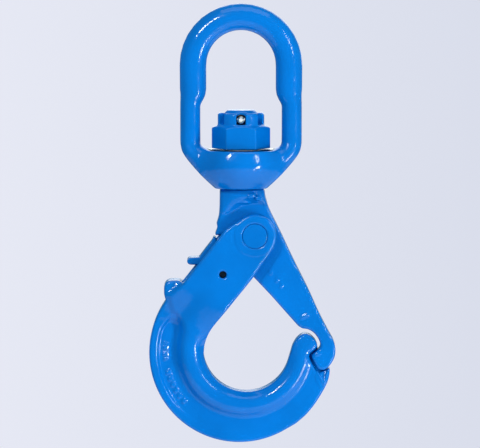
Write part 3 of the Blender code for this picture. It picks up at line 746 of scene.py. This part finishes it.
def make_castle_nut():
    field = Field(*box_mm("castle_nut"), NUT_STEP)
    radius = np.hypot(field.x, field.y) + 0 * field.z
    sides = None
    for number in range(NUT_SIDE_PAIRS):
        angle = math.radians(30 + 60 * number)
        flat = np.abs(field.x * math.cos(angle) + field.y * math.sin(angle)) - NUT_HALF
        sides = flat if sides is None else -blend(-sides, -flat, 0.45)
    ends = np.maximum(NUT_BOTTOM - field.z, field.z - NUT_SHOULDER)
    cone = (radius - NUT_CROWN_RADIUS) * NUT_CONE[0] + (field.z - NUT_SHOULDER) * NUT_CONE[1]
    hexagon = -blend(-np.maximum(sides, ends), -cone, 0.5)
    crown = field.turned([(0, NUT_CROWN_TOP), (NUT_CROWN_RADIUS - NUT_CROWN_CHAMFER, NUT_CROWN_TOP),
                          (NUT_CROWN_RADIUS, NUT_CROWN_TOP - NUT_CROWN_CHAMFER),
                          (NUT_CROWN_RADIUS, NUT_CROWN_FOOT), (0, NUT_CROWN_FOOT)])
    body = blend(hexagon, crown, 0.9)
    for number in range(NUT_SIDE_PAIRS):
        angle = math.radians(60 * number)
        beside = np.abs(field.x * math.cos(angle) + field.y * math.sin(angle)) - NUT_SLOT_HALF
        body = carve(body, np.maximum(beside, NUT_SLOT_FLOOR - field.z), 0.4)
    body = carve(body, radius - (SHANK_RADIUS + 0.2), 0.4)
    return field.mesh("castle_nut_painted", body)


# ---------------------------------------------------------------- turned and small pieces

BALL_COUNT = 12
BALL_Z = -78.5
BALL_RADIUS = 3.5
BALL_GAP = 0.3
BALL_PITCH = 15.1
RACE_BORE = 10.4
RACE_RADIUS = 20.0
RACE_THICKNESS = 4.2
RACE_EDGE = 0.4
GROOVE_STEPS = 12
CAGE_INNER = 11.2
CAGE_OUTER = 19.2
CAGE_HALF = 1.1
CAGE_EDGE = 0.2
SPRING_RADIUS = 3.6
SPRING_START = 120
SPRING_SWEEP = 360 * 3 + 95
SPRING_PITCH = 1.6
SPRING_STEPS = 96
SPRING_LEGS = (5.5, 3.4)
SPRING_WIRE = 0.6
# Radius, half the length, rounding of the rims and dish of the ends.
PIVOT_PIN = (7.35, 14.8, 0.25, 0.1)
TRIGGER_PIN = (2.0, 12.0, 0.3, 0.0)


def finish_mesh(name, bm, sharp=35):
    bmesh.ops.recalc_face_normals(bm, faces=bm.faces)
    mesh = bpy.data.meshes.new(name)
    bm.to_mesh(mesh)
    bm.free()
    mesh.shade_smooth()
    mesh.set_sharp_from_angle(angle=math.radians(sharp))
    return put_in_scene(name, mesh)


def turned_mesh(name, profile, steps=96):
    """A profile of (radius, z) points in millimetres, spun about Z."""
    bm = bmesh.new()
    points = [bm.verts.new((r * MM, 0, z * MM)) for r, z in profile]
    edges = [bm.edges.new(pair) for pair in zip(points, points[1:])]
    if profile[0][0] > 0:
        edges.append(bm.edges.new((points[-1], points[0])))
    bmesh.ops.spin(bm, geom=points + edges, axis=(0, 0, 1), cent=(0, 0, 0), angle=2 * math.pi,
                   steps=steps, use_merge=True)
    bmesh.ops.remove_doubles(bm, verts=bm.verts, dist=1e-7)
    return finish_mesh(name, bm)


def lay_along_y(obj, centre):
    place = Matrix.Translation((centre[0] * MM, 0, centre[1] * MM))
    obj.data.transform(place @ Matrix.Rotation(math.pi / 2, 4, "X"))
    return obj


def pin_profile(radius, half, edge, dish):
    """A pin's profile, with rounded rims and, where dish isn't 0, slightly dished ends."""
    rim = [polar((radius - edge, half - edge), edge, 90 - 15 * i) for i in range(7)]
    top = [(0, half - dish), (radius * 0.55, half - dish * 0.7)] + rim
    return top + [(r, -z) for r, z in reversed(top)]


def make_pivot_pin():
    return lay_along_y(turned_mesh("pivot_pin_riveted", pin_profile(*PIVOT_PIN)), PIVOT)


def make_trigger_pin():
    pin = turned_mesh("trigger_pin_turned", pin_profile(*TRIGGER_PIN), 48)
    return lay_along_y(pin, TRIGGER_PIVOT)


def make_nut_pin():
    """A rolled spring pin, open along one side, with chamfered ends."""
    opening = 20
    steps = 40
    radius, wall, half, chamfer = 2.1, 0.8, 13.5, 0.35
    sections = [(-half, chamfer), (-half + chamfer, 0.0), (half - chamfer, 0.0), (half, chamfer)]
    bm = bmesh.new()
    rings = []
    for along, inset in sections:
        outer = arc((0, 0), radius - inset, opening, 360 - opening, steps)
        inner = arc((0, 0), radius - wall, 360 - opening, opening, steps)
        rings.append([bm.verts.new((x * MM, y * MM, along * MM)) for x, y in outer + inner])
    for one, other in zip(rings, rings[1:]):
        for i in range(len(one)):
            j = (i + 1) % len(one)
            bm.faces.new((one[i], one[j], other[j], other[i]))
    for ring in (rings[0], rings[-1]):
        for i in range(steps):
            across = 2 * steps - i
            bm.faces.new((ring[i], ring[i + 1], ring[across], ring[across + 1]))
    return lay_along_y(finish_mesh("nut_spring_pin", bm), (0, NUT_PIN_Z))


def make_race(name, flat, towards):
    """A bearing washer from its flat side at this height, with the balls' groove towards them."""
    inner = flat + towards * RACE_THICKNESS
    groove = BALL_RADIUS + BALL_GAP
    half_width = math.sqrt(groove ** 2 - (BALL_Z - inner) ** 2)
    reach = math.degrees(math.asin(half_width / groove))
    sunk = []
    for i in range(GROOVE_STEPS + 1):
        angle = math.radians(-reach + 2 * reach * i / GROOVE_STEPS)
        sunk.append((BALL_PITCH + groove * math.sin(angle),
                     BALL_Z - towards * groove * math.cos(angle)))
    e = RACE_EDGE * towards
    profile = [(RACE_BORE + RACE_EDGE, flat), (RACE_BORE, flat + e), (RACE_BORE, inner - e),
               (RACE_BORE + RACE_EDGE, inner), *sunk,
               (RACE_RADIUS - RACE_EDGE, inner), (RACE_RADIUS, inner - e),
               (RACE_RADIUS, flat + e), (RACE_RADIUS - RACE_EDGE, flat)]
    return turned_mesh(name, profile, 128)


def ball_place(index):
    x, y = polar((0, 0), BALL_PITCH, 360 / BALL_COUNT * index)
    return Matrix.Translation((x * MM, y * MM, BALL_Z * MM))


def make_cage():
    low, high = BALL_Z - CAGE_HALF, BALL_Z + CAGE_HALF
    e = CAGE_EDGE
    bore = [(CAGE_INNER + e, low), (CAGE_INNER, low + e), (CAGE_INNER, high - e),
            (CAGE_INNER + e, high)]
    rim = [(CAGE_OUTER - e, high), (CAGE_OUTER, high - e), (CAGE_OUTER, low + e),
           (CAGE_OUTER - e, low)]
    cage = turned_mesh("ball_cage", bore + rim)
    window_bm = bmesh.new()
    for index in range(BALL_COUNT):
        bmesh.ops.create_uvsphere(window_bm, u_segments=32, v_segments=16,
                                  radius=(BALL_RADIUS + BALL_GAP) * MM, matrix=ball_place(index))
    windows = finish_mesh("cage windows", window_bm)
    cut = cage.modifiers.new("windows", "BOOLEAN")
    cut.operation = "DIFFERENCE"
    cut.solver = "EXACT"
    cut.object = windows
    bpy.context.view_layer.update()
    graph = bpy.context.evaluated_depsgraph_get()
    mesh = bpy.data.meshes.new_from_object(cage.evaluated_get(graph))
    cage.modifiers.clear()
    cage.data = mesh
    bpy.data.objects.remove(windows)
    return cage


def make_ball(number):
    bm = bmesh.new()
    bmesh.ops.create_icosphere(bm, subdivisions=4, radius=BALL_RADIUS * MM,
                               matrix=ball_place(number - 1))
    return finish_mesh(f"bearing_ball_ground_{number:02d}", bm, 80)


def make_spring():
    """The torsion spring's wire: a leg to the trigger, three turns, a leg on the slot's floor."""
    half = SPRING_PITCH * SPRING_SWEEP / 360 / 2
    points = []
    for i in range(SPRING_STEPS + 1):
        share = i / SPRING_STEPS
        x, z = polar(TRIGGER_PIVOT, SPRING_RADIUS, SPRING_START + SPRING_SWEEP * share)
        points.append(Vector((x, -half + 2 * half * share, z)))
    first = points[0] + (points[0] - points[1]).normalized() * SPRING_LEGS[0]
    last = points[-1] + (points[-1] - points[-2]).normalized() * SPRING_LEGS[1]
    route = [first] + points + [last]
    curve = bpy.data.curves.new("trigger_torsion_spring", "CURVE")
    curve.dimensions = "3D"
    curve.bevel_depth = SPRING_WIRE * MM
    curve.bevel_resolution = 3
    curve.use_fill_caps = True
    line = curve.splines.new("POLY")
    line.points.add(len(route) - 1)
    for point, place in zip(line.points, route):
        point.co = (place.x * MM, place.y * MM, place.z * MM, 1)
    return put_in_scene("trigger_torsion_spring", curve)


# ---------------------------------------------------------------- materials

class Nodes:
    """A short way to add and join shader nodes."""

    def __init__(self, tree):
        self.tree = tree

    def add(self, kind, inputs=(), **settings):
        node = self.tree.nodes.new(kind)
        for key, value in settings.items():
            setattr(node, key, value)
        for key, value in dict(inputs).items():
            node.inputs[key].default_value = value
        return node

    def link(self, output, socket):
        self.tree.links.new(output, socket)


class Finish(Nodes):
    """A material whose patterns are laid out in the object's own space."""

    def __init__(self, name):
        self.material = bpy.data.materials.new(name)
        self.material.use_nodes = True
        super().__init__(self.material.node_tree)
        self.shader = self.tree.nodes["Principled BSDF"]
        self.place = self.add("ShaderNodeTexCoord").outputs["Object"]

    def noise(self, scale, detail):
        node = self.add("ShaderNodeTexNoise", {"Scale": scale, "Detail": detail})
        self.link(self.place, node.inputs["Vector"])
        return node.outputs["Fac"]

    def ramp(self, value, stops):
        node = self.add("ShaderNodeValToRGB")
        elements = node.color_ramp.elements
        while len(elements) < len(stops):
            elements.new(0.5)
        for element, (position, colour) in zip(elements, stops):
            element.position = position
            element.color = colour
        self.link(value, node.inputs["Fac"])
        return node.outputs["Color"]

    def mix(self, share, one, other):
        node = self.add("ShaderNodeMix", {"B": other}, data_type="RGBA")
        self.link(share, node.inputs["Factor"])
        self.link(one, node.inputs["A"])
        return node.outputs["Result"]

    def near_axis(self, height, radius, fade):
        """1 within this radius of a line along Y at this height over x = 0, and 0 away from it."""
        middle = self.add("ShaderNodeVectorMath", {1: (0, 0, height)}, operation="SUBTRACT")
        self.link(self.place, middle.inputs[0])
        flat = self.add("ShaderNodeVectorMath", {1: (1, 0, 1)}, operation="MULTIPLY")
        self.link(middle.outputs["Vector"], flat.inputs[0])
        length = self.add("ShaderNodeVectorMath", operation="LENGTH")
        self.link(flat.outputs["Vector"], length.inputs[0])
        return self.spread(length.outputs["Value"], radius, radius - fade, 0.0, 1.0)

    def between(self, low, high):
        """1 between two heights, and 0 above and below them."""
        split = self.add("ShaderNodeSeparateXYZ")
        self.link(self.place, split.inputs["Vector"])
        compare = self.add("ShaderNodeMath", {1: (low + high) / 2, 2: (high - low) / 2},
                           operation="COMPARE")
        self.link(split.outputs["Z"], compare.inputs[0])
        return compare.outputs["Value"]

    def spread(self, value, low, high, to_low, to_high):
        node = self.add("ShaderNodeMapRange", {"From Min": low, "From Max": high,
                                               "To Min": to_low, "To Max": to_high})
        self.link(value, node.inputs["Value"])
        return node.outputs["Result"]

    def bump(self, height, distance, strength, under=None):
        node = self.add("ShaderNodeBump", {"Distance": distance, "Strength": strength})
        self.link(height, node.inputs["Height"])
        if under is not None:
            self.link(under, node.inputs["Normal"])
        return node.outputs["Normal"]


PAINT_STOPS = [
    (0.30, (0.0, 0.156, 0.545, 1)),
    (0.52, (0.0, 0.177, 0.61, 1)),
    (0.75, (0.0, 0.190, 0.66, 1)),
]
PAINT_GLOSS = (0.07, 0.19)
PAINT_IOR = 1.42
# Painted shade: a black disc round the nut pin's hole in the shank, for the dark of the nut's slot.
SLOT_SHADE_RADIUS = 3.4
SLOT_SHADE_FADE = 0.3
SLOT_SHADE_BLACK = (0.006, 0.006, 0.008, 1)
# Painted shadow: a black band on the upper race's rim, for the dark gap under the nut.
SHADOW_LINE_HEIGHTS = (-0.0728, -0.07158)
SHADOW_LINE_BLACK = (0.004, 0.004, 0.005, 1)
BEARING_STEEL = ((0.62, 0.63, 0.65), 0.10, 0.22, 2600.0)


def blue_paint(name, slot_shade=False):
    """Glossy blue paint on a forging: slow colour drift, orange peel and the metal's unevenness.

    With the flag set, a black disc round the hole for the nut's pin is painted shade: it stands for
    the dark inside the nut's slot.
    """
    n = Finish(name)
    colour = n.ramp(n.noise(28.0, 2.0), PAINT_STOPS)
    if slot_shade:
        painted_slot_shade = n.near_axis(NUT_PIN_Z * MM, SLOT_SHADE_RADIUS * MM, SLOT_SHADE_FADE * MM)
        # A black disc of painted shade, for the dark inside the nut's slot.
        colour = n.mix(painted_slot_shade, colour, SLOT_SHADE_BLACK)
    n.link(colour, n.shader.inputs["Base Color"])
    n.link(n.spread(n.noise(160.0, 3.0), 0.3, 0.7, *PAINT_GLOSS), n.shader.inputs["Roughness"])
    forged = n.bump(n.noise(120.0, 2.0), 0.0006, 0.35)
    peel = n.bump(n.noise(700.0, 2.0), 0.00012, 0.6, forged)
    n.link(peel, n.shader.inputs["Normal"])
    n.shader.inputs["IOR"].default_value = PAINT_IOR
    return n.material


def steel(name, colour, low, high, lines, shadow_line=None):
    """Bare metal with fine turning lines or grinding, and a little tarnish.

    Its roughness runs from low to high. On a bearing washer's rim, a black band between the two
    heights given is painted shadow, the dark gap under the nut.
    """
    n = Finish(name)
    n.shader.inputs["Metallic"].default_value = 1.0
    dark = tuple(c * 0.78 for c in colour)
    tarnished = n.ramp(n.noise(220.0, 4.0), [(0.35, (*dark, 1)), (0.65, (*colour, 1))])
    if shadow_line is not None:
        # A black band of painted shadow on the race's rim, for the gap under the nut.
        tarnished = n.mix(n.between(*shadow_line), tarnished, SHADOW_LINE_BLACK)
    n.link(tarnished, n.shader.inputs["Base Color"])
    n.link(n.spread(n.noise(900.0, 3.0), 0.3, 0.7, low, high), n.shader.inputs["Roughness"])
    n.link(n.bump(n.noise(lines, 1.0), 0.00006, 0.5), n.shader.inputs["Normal"])
    return n.material


def make_materials():
    return {
        "blue_paint": blue_paint("gloss blue paint"),
        "blue_paint_with_slot_shade": blue_paint("gloss blue paint, drilled", slot_shade=True),
        "bright_steel": steel("bright drawn steel", (0.78, 0.79, 0.80), 0.16, 0.32, 1600.0),
        "dark_steel": steel("blackened steel", (0.05, 0.05, 0.06), 0.35, 0.55, 1500.0),
        "bearing_steel": steel("ground bearing steel", *BEARING_STEEL),
        "race_steel_with_painted_shadow": steel("ground bearing steel with its seal", *BEARING_STEEL, SHADOW_LINE_HEIGHTS),
        "cage_brass": steel("pressed brass", (0.66, 0.47, 0.20), 0.25, 0.42, 900.0),
    }


# ---------------------------------------------------------------- putting it together

def place_piece(obj, body, slot, finish, *nodes):
    obj.data.materials.clear()
    obj.data.materials.append(finish)
    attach(obj, body)
    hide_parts(*nodes)


def make_pieces(finishes):
    blue = finishes["blue_paint"]
    slot_shade = finishes["blue_paint_with_slot_shade"]
    bright = finishes["bright_steel"]
    bearing = finishes["bearing_steel"]
    place_piece(make_swivel_link(), "bail", "blue_paint", blue, "swivel_link")
    place_piece(make_upper_body(), "shank", "blue_paint", slot_shade, "upper_body")
    place_piece(make_hook_body(), "hook", "blue_paint", blue, "hook_body")
    place_piece(make_castle_nut(), "shank", "blue_paint", blue, "castle_nut")
    place_piece(make_pivot_pin(), "hook", "blue_paint", blue, "pivot_pin")
    place_piece(make_trigger(), "thumb_trigger", "blue_paint", blue, "trigger")
    place_piece(make_nut_pin(), "shank", "bright_steel", bright, "nut_lock_pin")
    place_piece(make_trigger_pin(), "hook", "dark_steel", finishes["dark_steel"], "trigger_pin")
    place_piece(make_spring(), "hook", "bright_steel", bright, "trigger_spring")
    place_piece(make_race("upper_race_ground", -71.5, -1), "shank", "bearing_steel",
                finishes["race_steel_with_painted_shadow"], "bearing_upper_race")
    place_piece(make_race("lower_race_ground", -85.5, 1), "bail", "bearing_steel", bearing,
                "bearing_lower_race")
    place_piece(make_cage(), "ball_ring", "cage_brass", finishes["cage_brass"], "bearing_cage")
    for number in range(1, BALL_COUNT + 1):
        place_piece(make_ball(number), "ball_ring", "bearing_steel", bearing,
                    f"bearing_ball_{number:02d}")


# ---------------------------------------------------------------- stage, lights and camera

VIEW_WIDTH = 0.2896
CAMERA_DISTANCE = 2.6
CAMERA_ELEVATION = math.radians(4.5)
VIEW_CENTRE = (-0.0006, -0.1170)
SENSOR = 36.0
LIGHTS_AIM = (0, 0, -0.12)
# Name, place, direction of the longer side, (longer, shorter) side and watts.
LIGHTS = [
    ("upper left strip", (-0.74, -1.2, 0.82), (0.78, 0, 0.62), (0.60, 0.09), 13.5),
    ("lower right strip", (0.98, -1.0, -0.72), (0.6, 0, 0.8), (1.10, 0.08), 12),
    ("low right strip", (1.0, -0.8, -0.42), (0, 0, 1), (0.34, 0.08), 3.6),
    ("high right strip", (1.05, -0.95, 0.40), (0, 0, 1), (0.55, 0.08), 4.2),
    ("overhead", (0.1, -0.3, 1.2), (1, 0, 0), (1.2, 0.9), 4),
    ("rear fill", (0.3, 1.5, 0.5), (1, 0, 0), (1.4, 1.2), 7),
]
FLOOR_Z = -0.9
FLOOR_RADIUS = 1.7
FLOOR_STOPS = [(0.3, (0.60, 0.62, 0.70, 1)), (0.7, (0.64, 0.66, 0.74, 1))]
FLOOR_GLOW = (0.75, 0.78, 0.88, 1)
WALL_LEFT = (0.79, 0.81, 0.905, 1)
WALL_RIGHT = (0.70, 0.73, 0.835, 1)
WALL_REACH = 0.055
ROOM_COLOUR = (0.30, 0.80, 1.0, 1)
ROOM_STRENGTH = 0.28


def make_camera():
    data = bpy.data.cameras.new("camera")
    data.sensor_width = SENSOR
    data.lens = SENSOR * CAMERA_DISTANCE / VIEW_WIDTH
    data.clip_end = 20.0
    camera = put_in_scene("camera", data)
    back = CAMERA_DISTANCE * math.cos(CAMERA_ELEVATION)
    rise = CAMERA_DISTANCE * math.sin(CAMERA_ELEVATION)
    camera.location = (VIEW_CENTRE[0], -back, VIEW_CENTRE[1] + rise)
    camera.rotation_euler = (math.pi / 2 - CAMERA_ELEVATION, 0, 0)
    bpy.context.scene.camera = camera


def soft_light(name, place, long_way, size, power):
    """An area light aimed at the hook, with its longer side along long_way."""
    data = bpy.data.lights.new(name, "AREA")
    data.shape = "RECTANGLE"
    data.size, data.size_y = size
    data.energy = power
    back = (Vector(place) - Vector(LIGHTS_AIM)).normalized()
    across = Vector(long_way)
    across = (across - back * across.dot(back)).normalized()
    turn = Matrix((across, back.cross(across), back)).transposed().to_4x4()
    put_in_scene(name, data).matrix_world = Matrix.Translation(place) @ turn


def make_floor():
    bm = bmesh.new()
    bmesh.ops.create_circle(bm, cap_ends=True, radius=FLOOR_RADIUS, segments=96)
    floor = finish_mesh("floor", bm)
    floor.location.z = FLOOR_Z
    n = Finish("pale matt floor")
    n.link(n.ramp(n.noise(3.0, 2.0), FLOOR_STOPS), n.shader.inputs["Base Color"])
    n.shader.inputs["Roughness"].default_value = 0.8
    n.shader.inputs["Emission Color"].default_value = FLOOR_GLOW
    n.shader.inputs["Emission Strength"].default_value = 0.4
    floor.data.materials.append(n.material)


def make_world():
    """A pale wall behind the hook that darkens to the right, and a soft blue room to reflect."""
    world = bpy.data.worlds.new("studio")
    world.use_nodes = True
    world.node_tree.nodes.clear()
    n = Nodes(world.node_tree)
    split = n.add("ShaderNodeSeparateXYZ")
    n.link(n.add("ShaderNodeTexCoord").outputs["Generated"], split.inputs["Vector"])
    slope = n.add("ShaderNodeMapRange", {"From Min": -WALL_REACH, "From Max": WALL_REACH})
    n.link(split.outputs["X"], slope.inputs["Value"])
    fade = n.add("ShaderNodeValToRGB")
    fade.color_ramp.elements[0].color = WALL_LEFT
    fade.color_ramp.elements[1].color = WALL_RIGHT
    n.link(slope.outputs["Result"], fade.inputs["Fac"])
    wall = n.add("ShaderNodeBackground", {"Strength": 1.0})
    n.link(fade.outputs["Color"], wall.inputs["Color"])
    room = n.add("ShaderNodeBackground", {"Color": ROOM_COLOUR, "Strength": ROOM_STRENGTH})
    mix = n.add("ShaderNodeMixShader")
    n.link(n.add("ShaderNodeLightPath").outputs["Is Camera Ray"], mix.inputs["Fac"])
    n.link(room.outputs["Background"], mix.inputs[1])
    n.link(wall.outputs["Background"], mix.inputs[2])
    n.link(mix.outputs["Shader"], n.add("ShaderNodeOutputWorld").inputs["Surface"])
    bpy.context.scene.world = world


def make_stage():
    make_floor()
    make_world()
    bpy.context.scene.view_settings.view_transform = "Standard"
    for light in LIGHTS:
        soft_light(*light)


make_camera()
make_pieces(make_materials())
make_stage()
